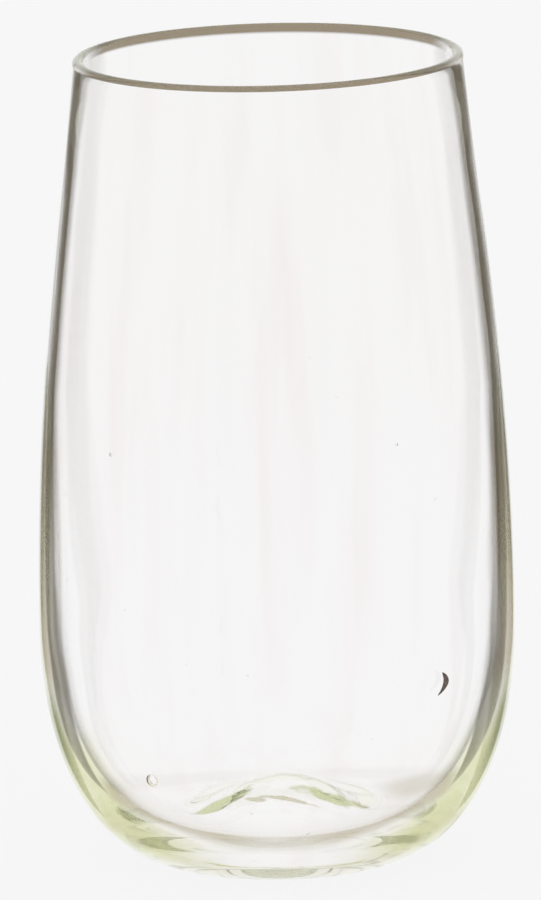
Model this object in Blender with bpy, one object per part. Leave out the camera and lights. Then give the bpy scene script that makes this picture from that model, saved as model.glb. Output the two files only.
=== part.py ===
"""Hand-blown highball glass: one piece of clear glass with a faint straw-green cast.

The glass stands on a narrow flat foot ring, swells to a low belly and narrows again towards a
fire-polished lip. Its wall is thin near the mouth and thick in the heel. The floor is pushed up in
the middle, and the underside of that kick carries the scar where the pontil rod was broken off.
The whole body is one profile turned about the Z axis. Lengths are in metres and +Z is up.
"""

import math

import bmesh
import bpy
from mathutils import Vector

# Outside
HEIGHT = 0.135
RIM_DIAMETER = 0.0648
WIDEST_DIAMETER = 0.0792
WIDEST_HEIGHT = 0.040
FOOT_DIAMETER = 0.040
FOOT_RING_WIDTH = 0.0012

# Glass thicknesses, from the lip down to the middle of the floor
LIP_THICKNESS = 0.0020
WALL_THICKNESS = 0.0017
BELLY_THICKNESS = 0.0027
FLOOR_THICKNESS = 0.0060
CENTRE_THICKNESS = 0.0048

# Depth below the top at which the thickened lip has run out into the wall,
# height above the belly at which the wall is down to its thinnest, and how evenly it gets there:
# 1 is a straight taper, and more than 1 thins it faster near the belly
LIP_DEPTH = 0.016
THINNING_HEIGHT = 0.040
THINNING_POWER = 1.15

# Kick: the push-up under the floor, the moat around it inside, and the scar in its middle
KICK_HEIGHT = 0.0072
MOAT_DIAMETER = 0.037
PONTIL_DIAMETER = 0.015
PONTIL_HEIGHT = 0.0007
PONTIL_EDGE_WIDTH = 0.0012

# How full the curves are: each handle as a share of the span that its curve crosses
HEEL_FOOT_FULLNESS = 0.12
HEEL_BELLY_FULLNESS = 0.87
FLOOR_FULLNESS = 0.35
FLOOR_BELLY_FULLNESS = 0.86
WALL_BELLY_FULLNESS = 0.43
WALL_RIM_FULLNESS = 0.30
# Inward lean of the wall where it meets the lip, as a slope
RIM_LEAN = 0.094

# Facets
SEGMENTS = 64
HEEL_STEPS = 10
WALL_STEPS = 11
LIP_STEPS = 6
FLOOR_STEPS = 6
KICK_STEPS = 6
MERGE_DISTANCE = 1e-6
SHARP_ANGLE = math.radians(40)

# Finish
GLASS_COLOUR = (0.93, 0.95, 0.86, 1.0)
GLASS_ROUGHNESS = 0.02
GLASS_IOR = 1.51


def smooth_step(share):
    """Eases from 0 to 1 as share goes from 0 to 1, and stays level outside that."""
    clamped = min(max(share, 0.0), 1.0)
    return clamped * clamped * (3.0 - 2.0 * clamped)


def cubic(start, start_handle, end_handle, end, steps):
    """Points of a cubic curve in the (radius, height) plane, both ends included."""
    points = []
    for index in range(steps + 1):
        t = index / steps
        s = 1.0 - t
        points.append(
            start * s**3 + start_handle * (3 * s * s * t) + end_handle * (3 * s * t * t) + end * t**3
        )
    return points


def heel_curve(foot, belly, foot_fullness, belly_fullness, belly_lean):
    """Round corner from a level start at foot to an end at belly that leans outward by a slope."""
    span = belly - foot
    foot_handle = foot + Vector((span.x * foot_fullness, 0.0))
    belly_handle = belly - Vector((belly_lean, 1.0)) * (span.y * belly_fullness)
    return cubic(foot, foot_handle, belly_handle, belly, HEEL_STEPS)


def outer_wall():
    """Outside of the wall, from the belly up to the start of the lip's round."""
    belly = Vector((WIDEST_DIAMETER / 2, WIDEST_HEIGHT))
    rim = Vector((RIM_DIAMETER / 2, HEIGHT - LIP_THICKNESS / 2))
    rise = rim.y - belly.y
    belly_handle = belly + Vector((0.0, rise * WALL_BELLY_FULLNESS))
    rim_reach = rise * WALL_RIM_FULLNESS
    rim_handle = rim + Vector((rim_reach * RIM_LEAN, -rim_reach))
    return cubic(belly, belly_handle, rim_handle, rim, WALL_STEPS)


def wall_thickness_at(height):
    """Thickness of the wall above the belly: thick at the belly, thin above, and fuller at the lip."""
    belly_share = max(1.0 - (height - WIDEST_HEIGHT) / THINNING_HEIGHT, 0.0) ** THINNING_POWER
    lip_share = smooth_step(1.0 - (HEIGHT - LIP_THICKNESS / 2 - height) / LIP_DEPTH)
    wall = WALL_THICKNESS + (BELLY_THICKNESS - WALL_THICKNESS) * belly_share
    return wall + (LIP_THICKNESS - wall) * lip_share


def inner_wall(outside):
    """Inside of the wall, each point level with one of the outside points."""
    return [Vector((point.x - wall_thickness_at(point.y), point.y)) for point in outside]


def lip_round(outer_edge):
    """Half-round top of the lip, between the outer and inner wall's last points."""
    radius = LIP_THICKNESS / 2
    centre = outer_edge - Vector((radius, 0.0))
    points = []
    for index in range(1, LIP_STEPS):
        angle = math.pi * index / LIP_STEPS
        points.append(centre + Vector((math.cos(angle), math.sin(angle))) * radius)
    return points


def raised_cosine(radius, reach):
    """1 on the axis, easing to 0 at reach."""
    return 0.5 + 0.5 * math.cos(math.pi * min(radius / reach, 1.0))


def floor_inside():
    """Inside floor, from the moat up to the crown of the kick on the axis."""
    reach = MOAT_DIAMETER / 2
    crown_rise = KICK_HEIGHT + CENTRE_THICKNESS - FLOOR_THICKNESS
    points = []
    for index in range(1, FLOOR_STEPS + 1):
        radius = reach * (1.0 - index / FLOOR_STEPS)
        points.append(Vector((radius, FLOOR_THICKNESS + crown_rise * raised_cosine(radius, reach))))
    return points


def underside():
    """Underside of the kick, from the axis past the pontil scar to the inner edge of the foot ring."""
    reach = FOOT_DIAMETER / 2 - FOOT_RING_WIDTH
    scar_edge = min(PONTIL_DIAMETER / 2, reach - PONTIL_EDGE_WIDTH)
    scar_foot = scar_edge + PONTIL_EDGE_WIDTH
    points = []
    for radius in (0.0, scar_edge / 2, scar_edge):
        points.append(Vector((radius, KICK_HEIGHT * raised_cosine(radius, reach) - PONTIL_HEIGHT)))
    for index in range(KICK_STEPS + 1):
        radius = scar_foot + (reach - scar_foot) * index / KICK_STEPS
        points.append(Vector((radius, KICK_HEIGHT * raised_cosine(radius, reach))))
    return points


def glass_profile():
    """The closed section of the glass, from the underside's centre round to the floor's crown."""
    foot = Vector((FOOT_DIAMETER / 2, 0.0))
    outside = outer_wall()
    inside = inner_wall(outside)
    moat = Vector((MOAT_DIAMETER / 2, FLOOR_THICKNESS))
    inner_lean = THINNING_POWER * (BELLY_THICKNESS - WALL_THICKNESS) / THINNING_HEIGHT
    outer_heel = heel_curve(foot, outside[0], HEEL_FOOT_FULLNESS, HEEL_BELLY_FULLNESS, 0.0)
    inner_heel = heel_curve(moat, inside[0], FLOOR_FULLNESS, FLOOR_BELLY_FULLNESS, inner_lean)

    section = underside()
    section += outer_heel[:-1]
    section += outside
    section += lip_round(outside[-1])
    section += reversed(inside)
    section += reversed(inner_heel[:-1])
    section += floor_inside()
    return section


def glass_material():
    """Clear glass with the faint straw-green cast of remelted bottle glass."""
    material = bpy.data.materials.new("glass")
    material.use_nodes = True
    shader = material.node_tree.nodes["Principled BSDF"]
    shader.inputs["Base Color"].default_value = GLASS_COLOUR
    shader.inputs["Roughness"].default_value = GLASS_ROUGHNESS
    shader.inputs["Metallic"].default_value = 0.0
    shader.inputs["IOR"].default_value = GLASS_IOR
    shader.inputs["Transmission Weight"].default_value = 1.0
    return material


def turn(name, section):
    """Spins a section in the XZ plane a full turn about Z into one closed mesh object."""
    body = bmesh.new()
    ring = [body.verts.new((point.x, 0.0, point.y)) for point in section]
    edges = [body.edges.new(pair) for pair in zip(ring, ring[1:])]
    bmesh.ops.spin(
        body,
        geom=ring + edges,
        cent=(0.0, 0.0, 0.0),
        axis=(0.0, 0.0, 1.0),
        angle=2 * math.pi,
        steps=SEGMENTS,
        use_merge=True,
    )
    bmesh.ops.remove_doubles(body, verts=body.verts, dist=MERGE_DISTANCE)
    bmesh.ops.recalc_face_normals(body, faces=body.faces)
    mesh = bpy.data.meshes.new(name)
    body.to_mesh(mesh)
    body.free()
    mesh.shade_smooth()
    mesh.set_sharp_from_angle(angle=SHARP_ANGLE)
    piece = bpy.data.objects.new(name, mesh)
    bpy.context.scene.collection.objects.link(piece)
    return piece


def main():
    for leftover in list(bpy.data.objects):
        bpy.data.objects.remove(leftover)
    glass = turn("glass_body", glass_profile())
    glass.data.materials.append(glass_material())


main()
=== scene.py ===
"""The look of a hand-blown highball glass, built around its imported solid.

The glass is one section turned about the Z axis: foot ring, heel, belly, wall, lip, inside floor and the
kick with its pontil scar. Seed bubbles are cavities in the same mesh, and one fleck of ash is caught in the
wall. Lengths are in metres, +Z is up, and the camera looks along +Y.
"""

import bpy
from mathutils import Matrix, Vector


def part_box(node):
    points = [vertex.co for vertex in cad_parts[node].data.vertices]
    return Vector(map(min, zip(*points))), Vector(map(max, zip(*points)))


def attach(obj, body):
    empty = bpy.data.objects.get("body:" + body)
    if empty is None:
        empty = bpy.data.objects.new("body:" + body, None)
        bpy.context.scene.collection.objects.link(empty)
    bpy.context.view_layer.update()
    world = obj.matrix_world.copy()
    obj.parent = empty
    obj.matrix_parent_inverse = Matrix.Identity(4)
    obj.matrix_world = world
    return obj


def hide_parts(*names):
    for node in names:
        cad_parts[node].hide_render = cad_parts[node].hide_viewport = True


bl_info = {
    "name": "Hand-blown highball glass",
    "version": (1, 0, 0),
    "blender": (4, 5, 0),
    "location": "3D View > Sidebar > Highball",
    "description": "Turns a hand-blown highball glass with seed bubbles, and sets a pale stage for it",
    "category": "Object",
}

import math
import random
from collections import namedtuple

import bmesh
import bpy
from mathutils import Matrix, Vector

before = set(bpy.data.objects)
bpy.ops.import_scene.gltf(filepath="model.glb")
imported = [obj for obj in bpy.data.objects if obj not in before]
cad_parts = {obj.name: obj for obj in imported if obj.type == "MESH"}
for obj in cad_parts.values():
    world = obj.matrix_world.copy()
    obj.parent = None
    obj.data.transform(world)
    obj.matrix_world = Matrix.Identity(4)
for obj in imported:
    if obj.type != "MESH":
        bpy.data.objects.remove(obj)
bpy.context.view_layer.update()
GLASS_LOW, GLASS_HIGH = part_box("glass_body")

# Shared values: factors that drop the height, untinted glass, and the grain and middle of plain noise
LEVEL = (1.0, 1.0, 0.0)
WHITE = (1.0, 1.0, 1.0)
PLAIN_DETAIL = 2.0
NOISE_MIDDLE = 0.5

# Section: how full its curves are, each handle as a share of the span that its curve crosses
HEEL_FOOT_FULLNESS = 0.12
HEEL_BELLY_FULLNESS = 0.87
FLOOR_FULLNESS = 0.22
FLOOR_BELLY_FULLNESS = 0.86
WALL_BELLY_FULLNESS = 0.43
WALL_RIM_FULLNESS = 0.30
# Inward slope of the wall at the lip, depth of the thickened lip, and how the wall thins above the belly
RIM_LEAN = 0.094
LIP_DEPTH = 0.016
THINNING_HEIGHT = 0.040
THINNING_POWER = 1.15
# Depth of the band under the crown of the kick that the pontil rod pressed flatter
CROWN_PRESS = 0.0008
# Depth below the top over which the lip mask runs out
LIP_MASK_DEPTH = 0.004
# Values of the inside attribute
OUTSIDE = 0.0
ON_LIP = 0.5
INSIDE = 1.0
# Points along the section
HEEL_STEPS = 48
WALL_STEPS = 60
LIP_STEPS = 20
FLOOR_STEPS = 24
UNDERSIDE_STEPS = 36

# Turning: radius of the circle that carries the section, and the gap that closes its poles
AXIS_RADIUS = 1e-6
MERGE_DISTANCE = 1e-5
# In the masks below, a pair is where a mask begins and where it is full
RIPPLE_STRETCH = (1.0, 1.0, 0.3)
RIPPLE_DETAIL = 3.0
RIPPLE_HEIGHT = (0.014, 0.034)
# How far apart in the noise the ripples of the inside and the outside are
RIPPLE_APART = 7.0
RIM_TILT_POWER = 6.0
KICK_SHARE = (1.0, 0.5)
KICK_CEILING = (0.030, 0.018)
SCAR_DETAIL = 2.0
SHIFT_HEIGHT = (0.034, 0.010)

# Seed bubbles that show: bearing in degrees from +X, height, depth in the wall, and size
SEEN_SEEDS = (
    (-126.0, 0.0196, 0.45, 5.6),
    (-135.0, 0.0738, 0.45, 1.6),
    (-58.0, 0.0758, 0.45, 1.3),
    (-98.0, 0.0149, 0.45, 1.2),
    (-82.0, 0.0110, 0.60, 1.4),
    (-99.0, 0.0058, 0.93, 1.3),
    (-81.0, 0.0039, 0.93, 1.5),
)
# Seed bubbles strewn by chance
SEED_CHANCE = 7
SEED_LOWEST = 0.007
SEED_HIGHEST = 0.118
SEED_SPREAD = (0.4, 0.8)
SEED_DEPTH = 0.45
SEED_FLATNESS = 0.28
SEED_FINENESS = 3

# Fleck of ash: its place in the wall, the bow and slant of its line, and its taper
FLECK_BEARING = math.radians(-45.0)
FLECK_HEIGHT = 0.0347
FLECK_DEPTH = 0.6
FLECK_BULGE = 0.0013
FLECK_SLANT = 0.0010
FLECK_TAPER = 1.5
FLECK_TIP = 0.004
FLECK_RINGS = 18
FLECK_SIDES = 10
ASH_GRAIN = 1500.0
ASH_MOTTLE = (0.35, 0.65)
ASH_SHADE = 0.5
ASH_ROUGHNESS = 0.85
ASH_SPECULAR = 0.2

# Glass: facing is 0 where a surface is seen square on and 1 along its edge
STREAK_SCALE = (130.0, 130.0, 9.0)
STREAK_DETAIL = 3.0
STREAK_NOISE = (0.48, 0.70)
# Painted shade on the lip: a dark band on the bead that stands in for dark surroundings seen through it,
# faded at its two ends
LIP_SHADE_DEPTH = (1.2, 0.8)
LIP_SHADE_FACING = (0.90, 0.62)
LIP_SHADE_ENDS = (0.003, 0.014)
STRAW_FOOT = (0.001, 0.005)
STRAW_TOP = (0.030, 0.020)
STRAW_RADIUS = (0.0195, 0.0215)
STRAW_ASIDE = (0.006, 0.022)
STRAW_FACING = (0.38, 0.58)
# Heel: the green of thick glass, darkened along its edge by painted shade
HEEL_FOOT = (0.013, 0.022)
HEEL_TOP = (0.034, 0.025)
HEEL_FACING = (0.66, 0.80)
# A painted dark line of shade along the edge of the inside floor, where it is seen aslant
MOAT_FOOT = (0.0075, 0.0135)
MOAT_TOP = (0.045, 0.028)
MOAT_RADIUS = (0.018, 0.024)
MOAT_FACING = (0.66, 0.88)
# Painted shade on the belly wall where it is seen along its edge, in place of dark surroundings seen
# through it
EDGE_FOOT = (0.027, 0.036)
EDGE_TOP = (0.080, 0.070)
EDGE_FACING = (0.58, 0.67)
# Leaf-shaped painted green glints and thin painted dark lines over the kick, which stand in for light seen
# through the scar: middle in x and y, half length, half width, and bearing
GLINT_LEAVES = (
    (-0.0100, -0.0064, 0.0052, 0.0019, math.radians(23)),
    (0.0088, -0.0056, 0.0060, 0.0018, math.radians(-6)),
)
SHADE_LINES = (
    (-0.0042, -0.0078, 0.0020, 0.0006, math.radians(-25)),
    (0.0014, -0.0084, 0.0049, 0.0005, math.radians(-12)),
)
LEAF_EDGE = (1.2, 0.7)
LEAF_GRAIN = 450.0
LEAF_DETAIL = 3.0
LEAF_FRAY = 1.3
POLISH_GRAIN = 90.0
POLISH_ROUGHNESS = 0.02
# Light guided along the wall, which meets a slight haze there
GUIDE_HEIGHT = (0.028, 0.044)
GUIDE_FACING = (0.28, 0.42)

# Rays: mirrorings that make light count as guided, crossings of a surface that make two walls, and the
# limit that a count stays under before its first bounce
GUIDED_MIRRORINGS = (2.5, 6.0)
TWO_WALLS = 4.0
BEFORE_FIRST = 0.5
RayKinds = namedtuple("RayKinds", "clear by_glass walls direct")
# Floor: where its colours change, and how the flags reach in and out close to the glass
FAR_FLOOR = (0.10, 0.45)
FAR_FLAG = (0.22, 0.40)
WIDE_FLAG_REACH = (0.22, 0.10)
FLAG_DRAWN_IN = 0.7
# Shade under the heel: an oval ring, weaker at the back and in the middle, and a spot at the right
RING_INNER = (0.0205, 0.0240)
RING_OUTER = (0.033, 0.028)
RING_WIDENING = 1.45
RING_BACK = (0.006, -0.004)
RING_LEAST = 0.15
RING_ASIDE = (0.002, 0.013)
RING_MIDDLE = 0.55
SPOT_PLACE = (0.027, 0.010, 0.0)
SPOT_REACH = (0.013, 0.003)
SPOT_DEPTH = 0.65
# The floor lies a hair below the foot, so that the two faces don't fall together
FLOOR_RADIUS = 2.0
FLOOR_DROP = 0.00005
FLOOR_SEGMENTS = 96
# Camera: the photograph's size and the place of the glass's middle in it, in pixels
PHOTO_WIDTH = 541
PHOTO_HEIGHT = 900
PHOTO_CENTRE = (274.4, 455.8)
SENSOR_MILLIMETRES = 36.0
CLIP_START = 0.01
CLIP_END = 20.0
# Rays are followed far, because light guided along the wall is mirrored many times
MAX_BOUNCES = 128
GLASS_BOUNCES = 96
DIFFUSE_BOUNCES = 2


def length(name, description, default):
    """A length that a user can change."""
    return bpy.props.FloatProperty(name=name, description=description, default=default, unit="LENGTH")


def angle(name, description, degrees):
    """An angle that a user can change, given in degrees."""
    return bpy.props.FloatProperty(
        name=name, description=description, default=math.radians(degrees), subtype="ANGLE"
    )


def colour(name, description, default):
    """A colour that a user can change."""
    return bpy.props.FloatVectorProperty(
        name=name, description=description, default=default, size=3, subtype="COLOR", min=0.0, max=1.0
    )


def part_of_one(name, description, default):
    """A share from 0 to 1 that a user can change."""
    return bpy.props.FloatProperty(
        name=name, description=description, default=default, min=0.0, max=1.0, subtype="FACTOR"
    )


class HighballShape(bpy.types.PropertyGroup):
    """Sizes of the turned section and of what is caught in it."""

    height: length("Height", "Height of the glass", GLASS_HIGH.z)
    rim_diameter: length("Rim", "Outside diameter at the lip", 0.0648)
    widest_diameter: length("Belly", "Outside diameter at the belly", GLASS_HIGH.x - GLASS_LOW.x)
    widest_height: length("Belly height", "Height of the widest place", 0.040)
    foot_diameter: length("Foot", "Outside diameter of the foot ring", 0.040)
    foot_ring_width: length("Foot ring width", "Width of the flat foot ring", 0.0012)
    lip_thickness: length("Lip", "Thickness of the rounded lip", 0.0020)
    wall_thickness: length("Wall", "Thickness of the thinnest wall", 0.0017)
    belly_thickness: length("Belly wall", "Thickness of the wall at the belly", 0.0027)
    floor_thickness: length("Floor", "Thickness of the floor over the foot ring", 0.0060)
    centre_thickness: length("Floor middle", "Thickness of the floor on the axis", 0.0048)
    kick_height: length("Kick", "Height of the push-up under the floor", 0.0072)
    moat_diameter: length("Moat", "Diameter of the lowest ring of the inside floor", 0.037)
    rim_tilt: angle("Rim tilt", "Sideways lean of the hand-cut rim", 0.5)
    front_tilt: angle("Front tilt", "Rise of the rim towards its front", 0.6)
    ripple_height: length("Ripple", "Unevenness of the blown wall", 0.00008)
    ripple_length: length("Ripple length", "Distance between ripples", 0.014)
    cavity_shift: length("Cavity shift", "How far the inside lies off the axis low down", -0.0002)
    kick_lean: angle("Kick lean", "Lean of the underside of the kick", 3.0)
    scar_height: length("Scar roughness", "Unevenness of the scar under the kick", 0.0006)
    scar_length: length("Scar grain", "Distance between the scar's bumps", 0.006)
    seed_size: length("Seeds", "Radius of an average seed bubble", 0.0002)
    seed_count: bpy.props.IntProperty(
        name="Seed count", description="Seed bubbles strewn through the wall", default=18, min=0
    )
    fleck_length: length("Ash fleck", "Length of the fleck of ash", 0.0038)
    fleck_width: length("Ash width", "Width of the fleck at its middle", 0.0013)
    fleck_depth: length("Ash depth", "Thickness of the fleck through the wall", 0.0004)
    segments: bpy.props.IntProperty(
        name="Segments", description="Facets round the glass", default=224, min=16
    )


class HighballFinish(bpy.types.PropertyGroup):
    """Colours and finish of the glass."""

    body_colour: colour("Body colour", "Colour that deep glass takes on", (0.75, 0.80, 0.25))
    body_depth: bpy.props.FloatProperty(
        name="Depth of colour", description="Absorption per metre of glass", default=2.0
    )
    # The lip's colour is painted shade: the dark band of the lip, in place of dark surroundings seen
    # through the bead
    lip_shade_colour: colour("Lip colour", "Smoke in the fire-polished lip", (0.10, 0.07, 0.033))
    bead_inside: length("Bead inside", "Depth of the lip's smoke on the inside", 0.0015)
    bead_outside: length("Bead outside", "Depth of the lip's smoke on the outside", 0.0005)
    streak_colour: colour("Streaks", "Faint rosy streaks that run down the wall", (0.965, 0.935, 0.93))
    ash_colour: colour("Ash", "Fleck of ash caught in the wall", (0.22, 0.15, 0.11))
    # The heel colour is the green of the thick heel, darkened along its edge by painted shade
    heel_green_and_shade: colour(
        "Heel colour", "Straw green of the thick heel seen along its edge", (0.22, 0.25, 0.11)
    )
    straw_colour: colour("Straw", "Straw tint of the heel seen aslant", (0.68, 0.71, 0.34))
    # The edge colour is painted shade on the belly wall seen along its edge, not smoke in the glass
    edge_shade_colour: colour(
        "Edge colour", "Brown smoke of the belly wall seen along its edge", (0.62, 0.54, 0.49)
    )
    # Painted dark lines over the kick, which stand in for shade seen through the scar
    scar_shade_colour: colour("Crack colour", "Brown lines where the pontil broke away", (0.46, 0.43, 0.26))
    # Painted green glints on the flanks of the kick: a painted reflection of the green heel in the scar
    scar_glint_colour: colour("Scar colour", "Green leaves on the flanks of the kick", (0.42, 0.48, 0.15))
    # The moat colour is a painted dark line of shade along the edge of the inside floor
    moat_shade_colour: colour(
        "Moat colour", "Brown line along the edge of the inside floor", (0.05, 0.04, 0.02)
    )
    guide_haze: part_of_one("Guide haze", "Roughness that light guided along the wall meets", 0.14)
    ior: bpy.props.FloatProperty(name="IOR", description="Refractive index", default=1.51)


class HighballStage(bpy.types.PropertyGroup):
    """Background, surroundings and camera."""

    background: colour("Background", "Pale floor and backdrop", (0.93, 0.93, 0.93))
    surround: colour("Surroundings", "Flags on the floor farther off", (0.13, 0.112, 0.08))
    near_flag: colour("Near flag", "Flags on the floor close to the glass", (0.14, 0.13, 0.09))
    flag_top: colour("Flag top", "Flags above the horizon", (0.40, 0.385, 0.31))
    sky_colour: colour("Dim room", "Room above the backdrop", (0.88, 0.87, 0.84))
    near_colour: colour("Near floor", "Floor close by, as seen through both walls", (0.93, 0.92, 0.93))
    far_colour: colour("Far floor", "Floor farther off, as seen through both walls", (0.92, 0.91, 0.91))
    ring_shadow: colour("Ring shadow", "Shade on the floor under the heel", (0.54, 0.49, 0.39))
    near_reach: length("Bright floor", "Radius of the floor that is bright all round", 0.024)
    far_reach: length("Dark floor", "Radius past which the flags are full", 0.042)
    flag_gap: length("Flag gap", "Half width of the gap between the flags", 0.036)
    flag_start: angle("Flag start", "Bearing at which a flag begins", 12.0)
    flag_full: angle("Flag full", "Bearing at which a flag is full", 18.5)
    flag_end: angle("Flag end", "Bearing up to which a flag is full", 38.0)
    flag_gone: angle("Flag gone", "Bearing at which the bright side begins", 46.0)
    flag_widening: angle(
        "Flag widening", "How much farther round the flags reach close to the glass", 12.0
    )
    backdrop_turn: angle("Backdrop turn", "Bearing of the middle of the backdrop", -0.5)
    flag_turn: angle("Flag turn", "Bearing that the outer edges of the flags are centred on", 3.5)
    sky_start: angle("Sky start", "Height angle at which the dim room begins", 4.0)
    sky_full: angle("Sky full", "Height angle at which the dim room is full", 15.0)
    sky_end: angle("Sky end", "Height angle up to which the dim room is full", 50.0)
    sky_gone: angle("Sky gone", "Height angle of the bright overhead light", 65.0)
    sky_side: angle("Sky side", "Bearing up to which the dim room is full", 50.0)
    sky_front: angle("Sky front", "Bearing at which the dim room is gone", 80.0)
    guided_light: part_of_one(
        "Guided light", "Share of the flags that light guided along the wall does not see", 0.65
    )
    shadow_share: part_of_one(
        "Shadow", "Share of the floor's brightness that the shadow takes part in", 0.05
    )
    elevation: angle("Elevation", "Camera's height angle", 11.94)
    distance: length("Distance", "Camera's distance", 2.0)
    roll: angle("Roll", "Camera's roll", 0.96)
    pixels_per_metre: bpy.props.FloatProperty(
        name="Scale", description="Photograph's pixels per metre at the glass", default=6016.2
    )


def smooth_step(share):
    """Eases from 0 to 1 as share goes from 0 to 1, and stays level outside that."""
    clamped = min(max(share, 0.0), 1.0)
    return clamped * clamped * (3.0 - 2.0 * clamped)


def raised_cosine(radius, reach):
    """1 on the axis, easing to 0 at reach."""
    return 0.5 + 0.5 * math.cos(math.pi * min(radius / reach, 1.0))


def cubic(start, start_handle, end_handle, end, steps):
    """Points of a cubic curve in the (radius, height) plane, both ends included."""
    points = []
    for index in range(steps + 1):
        t = index / steps
        s = 1.0 - t
        points.append(
            start * s**3 + start_handle * (3 * s * s * t) + end_handle * (3 * s * t * t) + end * t**3
        )
    return points


def heel_curve(foot, belly, foot_fullness, belly_fullness, belly_slope):
    """Round corner from a level start at foot to an end at belly that leans outward by belly_slope."""
    span = belly - foot
    foot_handle = foot + Vector((span.x * foot_fullness, 0.0))
    belly_handle = belly - Vector((belly_slope, 1.0)) * (span.y * belly_fullness)
    return cubic(foot, foot_handle, belly_handle, belly, HEEL_STEPS)


def outer_wall(shape):
    """Outside of the wall, from the belly up to the start of the lip's round."""
    belly = Vector((shape.widest_diameter / 2, shape.widest_height))
    rim = Vector((shape.rim_diameter / 2, shape.height - shape.lip_thickness / 2))
    rise = rim.y - belly.y
    belly_handle = belly + Vector((0.0, rise * WALL_BELLY_FULLNESS))
    rim_reach = rise * WALL_RIM_FULLNESS
    rim_handle = rim + Vector((rim_reach * RIM_LEAN, -rim_reach))
    return cubic(belly, belly_handle, rim_handle, rim, WALL_STEPS)


def wall_thickness_at(shape, height):
    """Thickness of the wall above the belly: thick at the belly, thin above, and fuller at the lip."""
    below = max(1.0 - (height - shape.widest_height) / THINNING_HEIGHT, 0.0)
    lip_share = smooth_step(1.0 - (shape.height - shape.lip_thickness / 2 - height) / LIP_DEPTH)
    wall = shape.wall_thickness + (shape.belly_thickness - shape.wall_thickness) * below**THINNING_POWER
    return wall + (shape.lip_thickness - wall) * lip_share


def inner_wall(shape, outside):
    """Inside of the wall, each point level with one of the outside points."""
    return [Vector((point.x - wall_thickness_at(shape, point.y), point.y)) for point in outside]


def lip_round(shape, outer_edge):
    """Half-round top of the lip, between the last points of the outer and inner wall."""
    radius = shape.lip_thickness / 2
    centre = outer_edge - Vector((radius, 0.0))
    points = []
    for index in range(1, LIP_STEPS):
        turn = math.pi * index / LIP_STEPS
        points.append(centre + Vector((math.cos(turn), math.sin(turn))) * radius)
    return points


def floor_inside(shape):
    """Inside floor, from the moat up to the crown of the kick on the axis."""
    reach = shape.moat_diameter / 2
    crown_rise = shape.kick_height + shape.centre_thickness - shape.floor_thickness
    points = []
    for index in range(1, FLOOR_STEPS + 1):
        radius = reach * (1.0 - index / FLOOR_STEPS)
        points.append(Vector((radius, shape.floor_thickness + crown_rise * raised_cosine(radius, reach))))
    return points


def underside(shape):
    """Underside of the kick, from its pressed crown on the axis to the inner edge of the foot ring."""
    reach = shape.foot_diameter / 2 - shape.foot_ring_width
    points = []
    for index in range(UNDERSIDE_STEPS + 1):
        radius = reach * index / UNDERSIDE_STEPS
        dome = shape.kick_height * raised_cosine(radius, reach)
        pressed = max(CROWN_PRESS - abs(dome - shape.kick_height), 0.0)
        points.append(Vector((radius, dome - pressed * pressed / (4 * CROWN_PRESS))))
    return points


def glass_section(shape):
    """Closed section from the underside's centre to the floor's crown, as (point, inside, lip)."""
    foot = Vector((shape.foot_diameter / 2, 0.0))
    outside = outer_wall(shape)
    inside = inner_wall(shape, outside)
    moat = Vector((shape.moat_diameter / 2, shape.floor_thickness))
    lean = THINNING_POWER * (shape.belly_thickness - shape.wall_thickness) / THINNING_HEIGHT
    outer_heel = heel_curve(foot, outside[0], HEEL_FOOT_FULLNESS, HEEL_BELLY_FULLNESS, 0.0)
    inner_heel = heel_curve(moat, inside[0], FLOOR_FULLNESS, FLOOR_BELLY_FULLNESS, lean)
    stretches = (
        (OUTSIDE, underside(shape) + outer_heel[:-1] + outside),
        (ON_LIP, lip_round(shape, outside[-1])),
        (INSIDE, inside[::-1] + inner_heel[-2::-1] + floor_inside(shape)),
    )
    rows = []
    for side, points in stretches:
        for point in points:
            lip = max(1.0 - (shape.height - point.y) / LIP_MASK_DEPTH, 0.0)
            rows.append((point, side, lip))
    return rows


def add_node(tree, kind, **settings):
    """A new node with its settings."""
    node = tree.nodes.new(kind)
    for name, value in settings.items():
        setattr(node, name, value)
    return node


def feed(socket, value):
    """Links an output socket to an input socket, or sets the input to a plain value."""
    if isinstance(value, bpy.types.NodeSocket):
        socket.id_data.links.new(value, socket)
    else:
        socket.default_value = value


def math_node(operation, *values):
    """Result of a Math node; each value is a number or an output socket, and at least one is a socket."""
    tree = next(value.id_data for value in values if isinstance(value, bpy.types.NodeSocket))
    node = add_node(tree, "ShaderNodeMath", operation=operation)
    for socket, value in zip(node.inputs, values):
        feed(socket, value)
    return node.outputs[0]


def product(first, *factors):
    """Product of an output socket and further numbers and output sockets."""
    for factor in factors:
        first = math_node("MULTIPLY", first, factor)
    return first


def remainder(share):
    """What is left of 1 beside a share."""
    return math_node("SUBTRACT", 1.0, share)


def at_least(share, least):
    """A share from 0 to 1 squeezed into the range from least to 1."""
    return math_node("ADD", product(share, 1.0 - least), least)


def ramp(value, limits):
    """Eased mask of a value: 0 at the first limit and 1 at the second."""
    node = add_node(value.id_data, "ShaderNodeMapRange", interpolation_type="SMOOTHSTEP")
    for name, given in zip(("Value", "From Min", "From Max"), (value, *limits)):
        feed(node.inputs[name], given)
    return node.outputs[0]


def beside(value, limits):
    """Eased mask of a value's distance from zero, to either side."""
    return ramp(math_node("ABSOLUTE", value), limits)


def vector_node(operation, vector, other):
    """Result of a Vector Math node that works on a vector and on a triple or another vector."""
    node = add_node(vector.id_data, "ShaderNodeVectorMath", operation=operation)
    feed(node.inputs[0], vector)
    feed(node.inputs[1], other)
    return node.outputs["Vector"]


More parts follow.
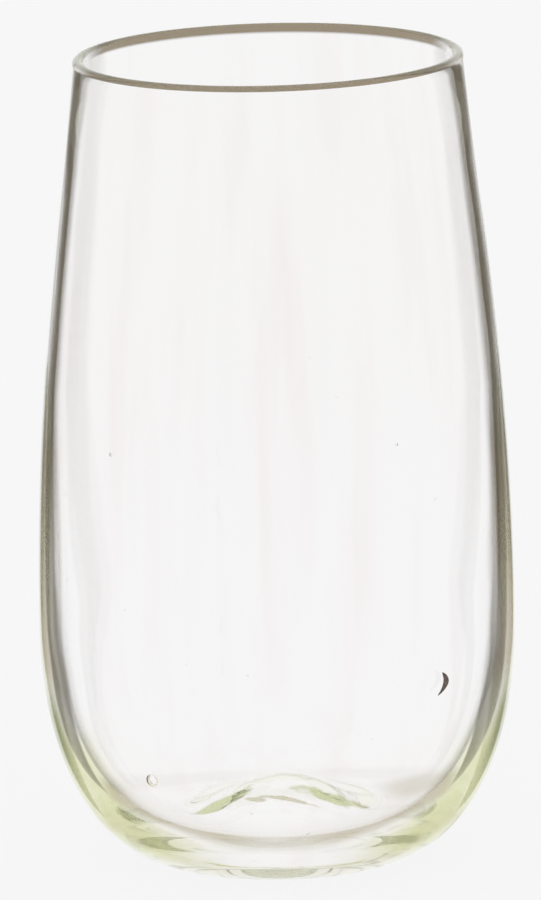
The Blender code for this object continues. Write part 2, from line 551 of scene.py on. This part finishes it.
def reach_of(vector, centre=(0.0, 0.0, 0.0)):
    """Distance of a vector from a centre."""
    node = add_node(vector.id_data, "ShaderNodeVectorMath", operation="DISTANCE")
    feed(node.inputs[0], vector)
    feed(node.inputs[1], centre)
    return node.outputs["Value"]


def split_xyz(vector):
    """The three components of a vector."""
    node = add_node(vector.id_data, "ShaderNodeSeparateXYZ")
    feed(node.inputs[0], vector)
    return node.outputs


def noise(vector, scale, detail):
    """Noise between 0 and 1 at a vector."""
    node = add_node(vector.id_data, "ShaderNodeTexNoise")
    for name, given in zip(("Vector", "Scale", "Detail"), (vector, scale, detail)):
        feed(node.inputs[name], given)
    return node.outputs[0]


def about_zero(value):
    """A noise value moved so that its middle is zero."""
    return math_node("SUBTRACT", value, NOISE_MIDDLE)


def colour_mix(factor, first, second):
    """Mix of two colours; each is a triple or an output socket."""
    node = add_node(factor.id_data, "ShaderNodeMix", data_type="RGBA")
    feed(node.inputs["Factor"], factor)
    for name, value in (("A", first), ("B", second)):
        is_socket = isinstance(value, bpy.types.NodeSocket)
        feed(node.inputs[name], value if is_socket else (*value, 1.0))
    return node.outputs["Result"]


def chain(tree, geometry, *nodes):
    """Sends a geometry through nodes, from first output to first input each time."""
    for node in nodes:
        tree.links.new(geometry, node.inputs[0])
        geometry = node.outputs[0] if node.outputs else None
    return geometry


def new_geometry_tree(name, kinds):
    """A Geometry Nodes tree, its inputs, and the node that begins its ending.

    The ending realizes the instances, sets the material and hands the geometry out.
    """
    tree = bpy.data.node_groups.new(name, "GeometryNodeTree")
    sockets = tree.interface
    for label, kind in (("Geometry", "Geometry"), *kinds, ("Material", "Material")):
        sockets.new_socket(label, in_out="INPUT", socket_type="NodeSocket" + kind)
    sockets.new_socket("Geometry", in_out="OUTPUT", socket_type="NodeSocketGeometry")
    given = add_node(tree, "NodeGroupInput").outputs
    realize = add_node(tree, "GeometryNodeRealizeInstances")
    paint = add_node(tree, "GeometryNodeSetMaterial")
    tree.links.new(given["Material"], paint.inputs["Material"])
    chain(tree, realize.outputs[0], paint, add_node(tree, "NodeGroupOutput"))
    return tree, given, realize


def set_inputs(modifier, values):
    """Sets a Geometry Nodes modifier's inputs by their sockets' identifiers."""
    for item in modifier.node_group.interface.items_tree:
        if item.item_type == "SOCKET" and item.in_out == "INPUT" and item.name in values:
            modifier[item.identifier] = values[item.name]


def add_object(name, data):
    """A new object in the scene."""
    item = bpy.data.objects.new(name, data)
    bpy.context.scene.collection.objects.link(item)
    return item


def applied_mesh(piece):
    """The evaluated result of a piece's modifiers as a plain mesh."""
    graph = bpy.context.evaluated_depsgraph_get()
    return bpy.data.meshes.new_from_object(piece.evaluated_get(graph), depsgraph=graph)


def grown_mesh(name, mesh, tree, values):
    """The plain mesh that a Geometry Nodes tree makes from a starting mesh."""
    piece = add_object(name, mesh)
    modifier = piece.modifiers.new(name, "NODES")
    modifier.node_group = tree
    set_inputs(modifier, values)
    grown = applied_mesh(piece)
    bpy.data.objects.remove(piece)
    return grown


def wall_ripple(tree, given, position, height, side):
    """Offset along the normal that ripples the wall above the foot, inside and outside apart."""
    ripple = add_node(tree, "ShaderNodeTexNoise", noise_dimensions="4D")
    ripple.inputs["Detail"].default_value = RIPPLE_DETAIL
    feed(ripple.inputs["Vector"], vector_node("MULTIPLY", position, RIPPLE_STRETCH))
    feed(ripple.inputs["W"], product(side, RIPPLE_APART))
    feed(ripple.inputs["Scale"], math_node("DIVIDE", 1.0, given["Ripple length"]))
    amount = product(about_zero(ripple.outputs[0]), given["Ripple height"], ramp(height, RIPPLE_HEIGHT))
    along = add_node(tree, "ShaderNodeVectorMath", operation="SCALE")
    tree.links.new(add_node(tree, "GeometryNodeInputNormal").outputs[0], along.inputs[0])
    tree.links.new(amount, along.inputs["Scale"])
    return along.outputs[0]


def rim_rise(given, place):
    """How far the rim's lean lifts a point; it runs out quickly below the lip."""
    share = math_node("POWER", math_node("DIVIDE", place["Z"], given["Height"]), RIM_TILT_POWER)
    sideways = product(place["X"], given["Rim slope"])
    from_back = math_node("SUBTRACT", given["Rim radius"], place["Y"])
    forward = product(from_back, given["Front slope"])
    return product(math_node("ADD", sideways, forward), share)


def kick_rise(given, position, place, outside):
    """How far the lean of the kick and the bumps of its scar lift a point of the underside."""
    level = vector_node("MULTIPLY", position, LEVEL)
    inward = math_node("DIVIDE", reach_of(level), given["Kick reach"])
    in_kick = product(ramp(inward, KICK_SHARE), ramp(place["Z"], KICK_CEILING))
    grain = math_node("DIVIDE", 1.0, given["Scar length"])
    bump = product(about_zero(noise(level, grain, SCAR_DETAIL)), given["Scar height"])
    tip = product(place["X"], given["Kick slope"])
    return product(math_node("ADD", tip, bump), outside, in_kick)


def turned_glass_tree():
    """Geometry Nodes: turns a section about Z, ripples its wall, and leans its rim and its kick."""
    numbers = ("Ripple height", "Ripple length", "Rim slope", "Front slope", "Rim radius", "Cavity shift")
    numbers += ("Kick slope", "Kick reach", "Scar height", "Scar length", "Height")
    kinds = [("Segments", "Int")] + [(name, "Float") for name in numbers]
    tree, given, ending = new_geometry_tree("Turned glass", kinds)
    links = tree.links

    section = add_node(tree, "GeometryNodeMeshToCurve")
    axis = add_node(tree, "GeometryNodeCurvePrimitiveCircle")
    axis.inputs["Radius"].default_value = AXIS_RADIUS
    lathe = add_node(tree, "GeometryNodeCurveToMesh")
    merge = add_node(tree, "GeometryNodeMergeByDistance")
    merge.inputs["Distance"].default_value = MERGE_DISTANCE
    links.new(given["Geometry"], section.inputs["Mesh"])
    links.new(given["Segments"], axis.inputs["Resolution"])
    links.new(section.outputs["Curve"], lathe.inputs["Profile Curve"])

    position = add_node(tree, "GeometryNodeInputPosition").outputs[0]
    place = split_xyz(position)
    side = add_node(tree, "GeometryNodeInputNamedAttribute", data_type="FLOAT")
    side.inputs["Name"].default_value = "inside"
    inside = side.outputs[0]
    low = product(inside, ramp(place["Z"], SHIFT_HEIGHT))
    kick = kick_rise(given, position, place, remainder(inside))
    lift = add_node(tree, "ShaderNodeCombineXYZ")
    links.new(product(low, given["Cavity shift"]), lift.inputs["X"])
    links.new(math_node("ADD", rim_rise(given, place), kick), lift.inputs["Z"])
    ripple = wall_ripple(tree, given, position, place["Z"], inside)
    move = add_node(tree, "GeometryNodeSetPosition")
    links.new(vector_node("ADD", ripple, lift.outputs[0]), move.inputs["Offset"])

    smooth = add_node(tree, "GeometryNodeSetShadeSmooth")
    chain(tree, axis.outputs["Curve"], lathe, merge, move, smooth, ending)
    return tree


def store(mesh, name, values):
    """Stores one number for each point of a mesh."""
    mesh.attributes.new(name, "FLOAT", "POINT").data.foreach_set("value", values)


def section_mesh(rows):
    """Edge-only mesh of a section in the XY plane, with its inside and lip masks."""
    mesh = bpy.data.meshes.new("glass_section")
    edges = [(index, index + 1) for index in range(len(rows) - 1)]
    mesh.from_pydata([(point.x, -point.y, 0.0) for point, _, _ in rows], edges, [])
    store(mesh, "inside", [side for _, side, _ in rows])
    store(mesh, "lip", [mask for _, _, mask in rows])
    return mesh


def wall_point(shape, bearing, height, depth):
    """Point inside the wall: depth is its share of the way from the inside, or the axis, to the outside."""
    radii = {INSIDE: 0.0}
    rows = glass_section(shape)
    for (start, side, _), (end, _, _) in zip(rows, rows[1:]):
        crosses = min(start.y, end.y) <= height < max(start.y, end.y)
        if crosses and side != ON_LIP:
            share = (height - start.y) / (end.y - start.y)
            radii[side] = max(radii.get(side, 0.0), start.x + (end.x - start.x) * share)
    radius = radii[INSIDE] + (radii[OUTSIDE] - radii[INSIDE]) * depth
    return Vector((math.cos(bearing) * radius, math.sin(bearing) * radius, height))


def seed_points(shape):
    """Places and sizes of the seed bubbles: those that show, and others strewn by chance."""
    chance = random.Random(SEED_CHANCE)
    places = []
    for bearing, height, depth, size in SEEN_SEEDS:
        places.append((wall_point(shape, math.radians(bearing), height, depth), size))
    for _ in range(shape.seed_count):
        bearing = chance.uniform(0.0, 2 * math.pi)
        height = chance.uniform(SEED_LOWEST, SEED_HIGHEST)
        places.append((wall_point(shape, bearing, height, SEED_DEPTH), chance.uniform(*SEED_SPREAD)))
    return places


def seed_tree():
    """Geometry Nodes: a hollow on every point, flattened towards the axis, with its faces turned in."""
    tree, given, ending = new_geometry_tree("Seed bubbles", (("Radius", "Float"), ("Flatness", "Float")))
    links = tree.links
    ball = add_node(tree, "GeometryNodeMeshIcoSphere")
    ball.inputs["Radius"].default_value = 1.0
    ball.inputs["Subdivisions"].default_value = SEED_FINENESS
    hollow = add_node(tree, "GeometryNodeFlipFaces")
    smooth = add_node(tree, "GeometryNodeSetShadeSmooth")
    strew = add_node(tree, "GeometryNodeInstanceOnPoints")
    links.new(chain(tree, ball.outputs["Mesh"], hollow, smooth), strew.inputs["Instance"])

    size = add_node(tree, "GeometryNodeInputNamedAttribute", data_type="FLOAT")
    size.inputs["Name"].default_value = "size"
    radius = product(size.outputs[0], given["Radius"])
    scale = add_node(tree, "ShaderNodeCombineXYZ")
    links.new(product(radius, given["Flatness"]), scale.inputs["X"])
    links.new(radius, scale.inputs["Y"])
    links.new(radius, scale.inputs["Z"])
    links.new(scale.outputs[0], strew.inputs["Scale"])
    position = add_node(tree, "GeometryNodeInputPosition").outputs[0]
    facing = add_node(tree, "FunctionNodeAlignEulerToVector", axis="X")
    links.new(vector_node("MULTIPLY", position, LEVEL), facing.inputs["Vector"])
    links.new(facing.outputs["Rotation"], strew.inputs["Rotation"])
    chain(tree, given["Geometry"], strew, ending)
    return tree


def seed_mesh(shape, material):
    """Mesh of all the seed bubbles."""
    places = seed_points(shape)
    mesh = bpy.data.meshes.new("seeds")
    mesh.from_pydata([point for point, _ in places], [], [])
    store(mesh, "size", [factor for _, factor in places])
    values = {"Radius": shape.seed_size, "Flatness": SEED_FLATNESS, "Material": material}
    return grown_mesh("seeds", mesh, seed_tree(), values)


def floor_patch(place, patch, fray):
    """1 inside an elliptical patch of the inside floor, with its edge frayed by a socket."""
    x, y, half_length, half_width, bearing = patch
    local = add_node(place.id_data, "ShaderNodeMapping", vector_type="TEXTURE")
    local.inputs["Location"].default_value = (x, y, 0.0)
    local.inputs["Rotation"].default_value = (0.0, 0.0, bearing)
    local.inputs["Scale"].default_value = (half_length, half_width, 1.0)
    feed(local.inputs["Vector"], place)
    return ramp(math_node("ADD", reach_of(local.outputs[0]), fray), LEAF_EDGE)


def lip_shade_mask(finish, inside):
    """1 on the bead of the lip, where shade is painted; it reaches deeper on the inside."""
    lip = add_node(inside.id_data, "ShaderNodeAttribute", attribute_name="lip").outputs["Fac"]
    depth_below = product(remainder(lip), LIP_MASK_DEPTH)
    deeper = product(inside, finish.bead_inside - finish.bead_outside)
    bead = math_node("ADD", deeper, finish.bead_outside)
    return ramp(math_node("DIVIDE", depth_below, bead), LIP_SHADE_DEPTH)


def glass_tints(finish, place, facing, inside, entering):
    """Tint of every surface: streaks, painted shade on the lip, straw heel darkened at its edge by painted
    shade, painted shade on the belly's edges and along the moat, and painted glints and dark lines over the
    kick.
    """
    across = split_xyz(place)
    height = across["Z"]
    radius = reach_of(vector_node("MULTIPLY", place, LEVEL))
    outside = remainder(inside)

    def band(foot, top, view, *others):
        """Mask of a band of heights, by the angle that its surface is seen at."""
        return product(ramp(height, foot), ramp(height, top), ramp(facing, view), *others)

    cords = noise(vector_node("MULTIPLY", place, STREAK_SCALE), 1.0, STREAK_DETAIL)
    # Painted shade on the lip's bead, only where light enters it and faded at the bead's two ends
    shading = product(lip_shade_mask(finish, inside), ramp(facing, LIP_SHADE_FACING), entering)
    straw = band(STRAW_FOOT, STRAW_TOP, STRAW_FACING, outside, ramp(radius, STRAW_RADIUS))
    # Painted dark line of shade along the moat, where the inside floor is seen aslant
    moat = band(MOAT_FOOT, MOAT_TOP, MOAT_FACING, ramp(radius, MOAT_RADIUS), inside)
    stains = [
        (product(ramp(cords, STREAK_NOISE), outside), finish.streak_colour),
        (product(shading, beside(across["Y"], LIP_SHADE_ENDS)), finish.lip_shade_colour),
        (product(straw, beside(across["X"], STRAW_ASIDE)), finish.straw_colour),
        # The heel's own green, darkened along its edge by painted shade
        (band(HEEL_FOOT, HEEL_TOP, HEEL_FACING, outside), finish.heel_green_and_shade),
        (moat, finish.moat_shade_colour),
        # Painted shade on the belly wall seen along its edge
        (band(EDGE_FOOT, EDGE_TOP, EDGE_FACING, outside), finish.edge_shade_colour),
    ]
    # Painted green glints and painted dark lines over the kick, in place of light seen through the scar
    fray = product(about_zero(noise(place, LEAF_GRAIN, LEAF_DETAIL)), LEAF_FRAY)
    for patches, stain in ((GLINT_LEAVES, finish.scar_glint_colour), (SHADE_LINES, finish.scar_shade_colour)):
        for patch in patches:
            stains.append((product(floor_patch(place, patch, fray), inside), stain))
    tint = WHITE
    for mask, stain in stains:
        tint = colour_mix(mask, tint, stain)
    return tint


def glass_material(finish):
    """Clear soda glass: straw-green in depth, with painted shade in the lip, faintly corded by the blowing.
    """
    material = bpy.data.materials.new("glass")
    material.use_nodes = True
    tree = material.node_tree
    shader = tree.nodes["Principled BSDF"]
    shader.inputs["Transmission Weight"].default_value = 1.0
    shader.inputs["IOR"].default_value = finish.ior
    place = add_node(tree, "ShaderNodeTexCoord").outputs["Object"]
    facing = add_node(tree, "ShaderNodeLayerWeight").outputs["Facing"]
    inside = add_node(tree, "ShaderNodeAttribute", attribute_name="inside").outputs["Fac"]
    leaving = add_node(tree, "ShaderNodeNewGeometry").outputs["Backfacing"]
    tint = glass_tints(finish, place, facing, inside, remainder(leaving))
    tree.links.new(tint, shader.inputs["Base Color"])
    haze = product(ramp(facing, GUIDE_FACING), finish.guide_haze, leaving)
    haze = product(haze, ramp(split_xyz(place)["Z"], GUIDE_HEIGHT))
    polish = product(noise(place, POLISH_GRAIN, PLAIN_DETAIL), POLISH_ROUGHNESS)
    tree.links.new(math_node("ADD", polish, haze), shader.inputs["Roughness"])

    depth = add_node(tree, "ShaderNodeVolumeAbsorption")
    depth.inputs["Color"].default_value = (*finish.body_colour, 1.0)
    depth.inputs["Density"].default_value = finish.body_depth
    tree.links.new(depth.outputs["Volume"], tree.nodes["Material Output"].inputs["Volume"])
    return material


class HIGHBALL_OT_blow_glass(bpy.types.Operator):
    """Turn the body of the glass from its section, with its seed bubbles"""

    bl_idname = "highball.blow_glass"
    bl_label = "Blow the glass"

    def execute(self, context):
        shape = context.scene.highball_shape
        material = glass_material(context.scene.highball_finish)
        values = {
            "Segments": shape.segments,
            "Ripple height": shape.ripple_height,
            "Ripple length": shape.ripple_length,
            "Rim slope": math.tan(shape.rim_tilt),
            "Front slope": math.tan(shape.front_tilt),
            "Rim radius": shape.rim_diameter / 2,
            "Cavity shift": shape.cavity_shift,
            "Kick slope": math.tan(shape.kick_lean),
            "Kick reach": shape.foot_diameter / 2 - shape.foot_ring_width,
            "Scar height": shape.scar_height,
            "Scar length": shape.scar_length,
            "Height": shape.height,
            "Material": material,
        }
        section = section_mesh(glass_section(shape))
        mesh = grown_mesh("glass_section", section, turned_glass_tree(), values)
        body = bmesh.new()
        body.from_mesh(mesh)
        bmesh.ops.recalc_face_normals(body, faces=body.faces)
        if body.calc_volume(signed=True) <= 0.0:
            raise RuntimeError("the turned glass is inside out")
        body.from_mesh(seed_mesh(shape, material))
        body.to_mesh(mesh)
        body.free()
        mesh.name = "blown_glass"
        glass = add_object("blown_glass", mesh)
        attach(glass, "root")
        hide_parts("glass_body")
        return {"FINISHED"}


def fleck_mesh(shape):
    """A crescent in the wall: elliptical rings along a bowed line that thins towards both ends."""
    middle = wall_point(shape, FLECK_BEARING, FLECK_HEIGHT, FLECK_DEPTH)
    outward = Vector((math.cos(FLECK_BEARING), math.sin(FLECK_BEARING), 0.0))
    along = Vector((-outward.y, outward.x, 0.0))
    up = Vector((0.0, 0.0, 1.0))
    solid = bmesh.new()
    rings = []
    for index in range(FLECK_RINGS + 1):
        share = index / FLECK_RINGS
        span = 2.0 * share - 1.0
        bow = FLECK_BULGE * (1.0 - span * span) - FLECK_SLANT * share
        centre = middle + up * (-span * shape.fleck_length / 2) + along * (bow - FLECK_BULGE / 2)
        fullness = math.sqrt(max(1.0 - abs(span) ** FLECK_TAPER, FLECK_TIP))
        ring = []
        for side in range(FLECK_SIDES):
            turn = 2 * math.pi * side / FLECK_SIDES
            across = along * (math.cos(turn) * shape.fleck_width / 2)
            deep = outward * (math.sin(turn) * shape.fleck_depth / 2)
            ring.append(solid.verts.new(centre + (across + deep) * fullness))
        rings.append(ring)
    for lower, upper in zip(rings, rings[1:]):
        for side in range(FLECK_SIDES):
            after = (side + 1) % FLECK_SIDES
            solid.faces.new((lower[side], lower[after], upper[after], upper[side]))
    solid.faces.new(rings[0])
    solid.faces.new(rings[-1])
    bmesh.ops.recalc_face_normals(solid, faces=solid.faces)
    mesh = bpy.data.meshes.new("ash_fleck")
    solid.to_mesh(mesh)
    solid.free()
    mesh.shade_smooth()
    return mesh


def ash_material(finish):
    """Dull brown ash, mottled."""
    material = bpy.data.materials.new("ash")
    material.use_nodes = True
    tree = material.node_tree
    shader = tree.nodes["Principled BSDF"]
    place = add_node(tree, "ShaderNodeTexCoord").outputs["Object"]
    mottle = ramp(noise(place, ASH_GRAIN, PLAIN_DETAIL), ASH_MOTTLE)
    darker = [share * ASH_SHADE for share in finish.ash_colour]
    tree.links.new(colour_mix(mottle, darker, finish.ash_colour), shader.inputs["Base Color"])
    shader.inputs["Roughness"].default_value = ASH_ROUGHNESS
    shader.inputs["Specular IOR Level"].default_value = ASH_SPECULAR
    return material


class HIGHBALL_OT_catch_ash(bpy.types.Operator):
    """Catch a fleck of ash in the wall"""

    bl_idname = "highball.catch_ash"
    bl_label = "Catch the ash"

    def execute(self, context):
        mesh = fleck_mesh(context.scene.highball_shape)
        mesh.materials.append(ash_material(context.scene.highball_finish))
        fleck = add_object("ash_fleck", mesh)
        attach(fleck, "root")
        return {"FINISHED"}


def ray_kinds(tree, stage):
    """Sockets that tell rays apart.

    clear is 1 before any matt surface was met, by_glass is 1 for clear rays that come by way of the glass,
    walls is their share of two walls crossed, and direct is less for light guided along the wall.
    """
    path = add_node(tree, "ShaderNodeLightPath").outputs
    clear = math_node("LESS_THAN", path["Diffuse Depth"], BEFORE_FIRST)
    by_glass = math_node("MAXIMUM", path["Is Glossy Ray"], path["Is Transmission Ray"])
    crossed = math_node("DIVIDE", path["Transmission Depth"], TWO_WALLS)
    walls = math_node("MINIMUM", crossed, 1.0)
    guided = ramp(path["Glossy Depth"], GUIDED_MIRRORINGS)
    direct = remainder(product(guided, stage.guided_light))
    return RayKinds(clear, product(by_glass, clear), product(walls, clear), direct)


def beside_backdrop(stage, place, half_width, widening):
    """1 on the dark flags beside the backdrop, and the bearing that their outer edges are measured by.

    The flags are 0 behind the glass and far round to the sides. widening moves their outer edges farther
    round and, in part, their inner edges too, by an angle or a socket that gives one.
    """
    across = math_node("SUBTRACT", math_node("ABSOLUTE", place["X"]), half_width)
    bearing = math_node("ARCTAN2", math_node("MAXIMUM", across, 0.0), place["Y"])
    bearing = product(bearing, math_node("SIGN", place["X"]))
    near_edge = math_node("ABSOLUTE", math_node("SUBTRACT", bearing, stage.backdrop_turn))
    far_edge = math_node("ABSOLUTE", math_node("SUBTRACT", bearing, stage.flag_turn))
    near_edge = math_node("MULTIPLY_ADD", widening, -FLAG_DRAWN_IN, near_edge)
    far_edge = math_node("SUBTRACT", far_edge, widening)
    begins = ramp(near_edge, (stage.flag_start, stage.flag_full))
    ends = ramp(far_edge, (stage.flag_end, stage.flag_gone))
    return math_node("SUBTRACT", begins, ends), far_edge


def studio_world(stage):
    """Pale light all round, in which the glass also mirrors two flags and a dim room above them."""
    world = bpy.data.worlds.new("studio")
    world.use_nodes = True
    world.cycles.sampling_method = "NONE"
    tree = world.node_tree
    rays = ray_kinds(tree, stage)
    place = split_xyz(add_node(tree, "ShaderNodeTexCoord").outputs["Generated"])
    flag, bearing = beside_backdrop(stage, place, 0.0, 0.0)
    rises = ramp(place["Z"], (math.sin(stage.sky_start), math.sin(stage.sky_full)))
    ends = ramp(place["Z"], (math.sin(stage.sky_end), math.sin(stage.sky_gone)))
    ahead = ramp(bearing, (stage.sky_side, stage.sky_front))
    room = product(math_node("SUBTRACT", rises, ends), remainder(ahead), rays.by_glass)
    low_flag = product(flag, rays.direct, remainder(rises), rays.by_glass)
    pale = colour_mix(rays.clear, WHITE, stage.background)
    seen = colour_mix(low_flag, pale, stage.flag_top)
    seen = colour_mix(room, seen, stage.sky_colour)
    tree.links.new(seen, tree.nodes["Background"].inputs["Color"])
    return world


def heel_shade(place, spread):
    """Shade on the floor under the heel: an oval ring, strongest at the front, and a soft spot."""
    narrow = vector_node("MULTIPLY", place, (1.0 / RING_WIDENING, 1.0, 0.0))
    oval = reach_of(narrow)
    ring = product(ramp(oval, RING_INNER), ramp(oval, RING_OUTER))
    front = ramp(spread["Y"], RING_BACK)
    aside = beside(spread["X"], RING_ASIDE)
    ring = product(ring, at_least(front, RING_LEAST), at_least(aside, RING_MIDDLE))
    spot = product(ramp(reach_of(place, SPOT_PLACE), SPOT_REACH), SPOT_DEPTH)
    return math_node("MAXIMUM", ring, spot)


def floor_material(stage):
    """Pale floor that keeps the glass's shadow; by way of the glass its flags and shade show too."""
    material = bpy.data.materials.new("pale_floor")
    material.use_nodes = True
    tree = material.node_tree
    links = tree.links
    tree.nodes.remove(tree.nodes["Principled BSDF"])
    rays = ray_kinds(tree, stage)
    place = add_node(tree, "ShaderNodeTexCoord").outputs["Object"]
    spread = split_xyz(place)
    reach = reach_of(place)
    distant = ramp(reach, FAR_FLOOR)
    seen_through = colour_mix(distant, stage.near_colour, stage.far_colour)
    seen = colour_mix(rays.walls, stage.background, seen_through)

    widening = product(ramp(reach, WIDE_FLAG_REACH), stage.flag_widening)
    flag, _ = beside_backdrop(stage, spread, stage.flag_gap, widening)
    clear_of_glass = ramp(reach, (stage.near_reach, stage.far_reach))
    dark = colour_mix(ramp(reach, FAR_FLAG), stage.near_flag, stage.surround)
    seen = colour_mix(product(clear_of_glass, flag, rays.direct), seen, dark)
    seen = colour_mix(heel_shade(place, spread), seen, stage.ring_shadow)

    by_way_of_glass = add_node(tree, "ShaderNodeEmission")
    links.new(seen, by_way_of_glass.inputs["Color"])
    matt = add_node(tree, "ShaderNodeBsdfDiffuse")
    plain = add_node(tree, "ShaderNodeEmission")
    for shader in (matt, plain):
        shader.inputs["Color"].default_value = (*stage.background, 1.0)
    shadowed = add_node(tree, "ShaderNodeMixShader")
    shadowed.inputs[0].default_value = stage.shadow_share
    links.new(plain.outputs[0], shadowed.inputs[1])
    links.new(matt.outputs[0], shadowed.inputs[2])
    mix = add_node(tree, "ShaderNodeMixShader")
    links.new(rays.by_glass, mix.inputs[0])
    links.new(shadowed.outputs[0], mix.inputs[1])
    links.new(by_way_of_glass.outputs[0], mix.inputs[2])
    links.new(mix.outputs[0], tree.nodes["Material Output"].inputs["Surface"])
    return material


def floor_mesh():
    """Round floor under the glass."""
    mesh = bpy.data.meshes.new("floor")
    disc = bmesh.new()
    bmesh.ops.create_circle(disc, cap_ends=True, segments=FLOOR_SEGMENTS, radius=FLOOR_RADIUS)
    disc.to_mesh(mesh)
    disc.free()
    mesh.transform(Matrix.Translation((0.0, 0.0, -FLOOR_DROP)))
    return mesh


def photo_camera(stage, shape):
    """Camera of the photograph: aimed so that the middle of the glass falls on its place in the picture."""
    back = Vector((0.0, -math.cos(stage.elevation), math.sin(stage.elevation)))
    level = Vector((1.0, 0.0, 0.0))
    upright = back.cross(level)
    right = level * math.cos(stage.roll) - upright * math.sin(stage.roll)
    up = upright * math.cos(stage.roll) + level * math.sin(stage.roll)
    aim = Vector((0.0, 0.0, shape.height / 2))
    aim -= right * ((PHOTO_CENTRE[0] - PHOTO_WIDTH / 2) / stage.pixels_per_metre)
    aim += up * ((PHOTO_CENTRE[1] - PHOTO_HEIGHT / 2) / stage.pixels_per_metre)
    data = bpy.data.cameras.new("photo_camera")
    data.sensor_fit = "VERTICAL"
    data.sensor_height = SENSOR_MILLIMETRES
    data.lens = stage.pixels_per_metre * stage.distance / PHOTO_HEIGHT * SENSOR_MILLIMETRES
    data.clip_start = CLIP_START
    data.clip_end = CLIP_END
    camera = add_object("photo_camera", data)
    turn = Matrix((right, up, back)).transposed()
    camera.matrix_world = Matrix.Translation(aim + back * stage.distance) @ turn.to_4x4()
    return camera


class HIGHBALL_OT_set_stage(bpy.types.Operator):
    """Lay the floor, light the studio and place the camera"""

    bl_idname = "highball.set_stage"
    bl_label = "Set the stage"

    def execute(self, context):
        scene = context.scene
        stage = scene.highball_stage
        mesh = floor_mesh()
        mesh.materials.append(floor_material(stage))
        floor = add_object("floor", mesh)
        scene.world = studio_world(stage)
        scene.camera = photo_camera(stage, scene.highball_shape)
        scene.view_settings.view_transform = "Standard"
        scene.cycles.max_bounces = MAX_BOUNCES
        scene.cycles.diffuse_bounces = DIFFUSE_BOUNCES
        scene.cycles.transmission_bounces = GLASS_BOUNCES
        scene.cycles.glossy_bounces = GLASS_BOUNCES
        return {"FINISHED"}


class HIGHBALL_PT_panel(bpy.types.Panel):
    """Lists the steps of the glass"""

    bl_label = "Highball glass"
    bl_idname = "HIGHBALL_PT_panel"
    bl_space_type = "VIEW_3D"
    bl_region_type = "UI"
    bl_category = "Highball"

    def draw(self, context):
        for step in (HIGHBALL_OT_blow_glass, HIGHBALL_OT_catch_ash, HIGHBALL_OT_set_stage):
            self.layout.operator(step.bl_idname)


CLASSES = (
    HighballShape,
    HighballFinish,
    HighballStage,
    HIGHBALL_OT_blow_glass,
    HIGHBALL_OT_catch_ash,
    HIGHBALL_OT_set_stage,
    HIGHBALL_PT_panel,
)


def register():
    """Makes the classes and the scene's settings known to Blender."""
    for item in CLASSES:
        bpy.utils.register_class(item)
    bpy.types.Scene.highball_shape = bpy.props.PointerProperty(type=HighballShape)
    bpy.types.Scene.highball_finish = bpy.props.PointerProperty(type=HighballFinish)
    bpy.types.Scene.highball_stage = bpy.props.PointerProperty(type=HighballStage)


def unregister():
    """Takes the settings and the classes away again."""
    del bpy.types.Scene.highball_stage
    del bpy.types.Scene.highball_finish
    del bpy.types.Scene.highball_shape
    for item in reversed(CLASSES):
        bpy.utils.unregister_class(item)


def main():
    """Builds the glass and its stage."""
    register()
    bpy.ops.highball.blow_glass()
    bpy.ops.highball.catch_ash()
    bpy.ops.highball.set_stage()


if __name__ == "__main__":
    main()
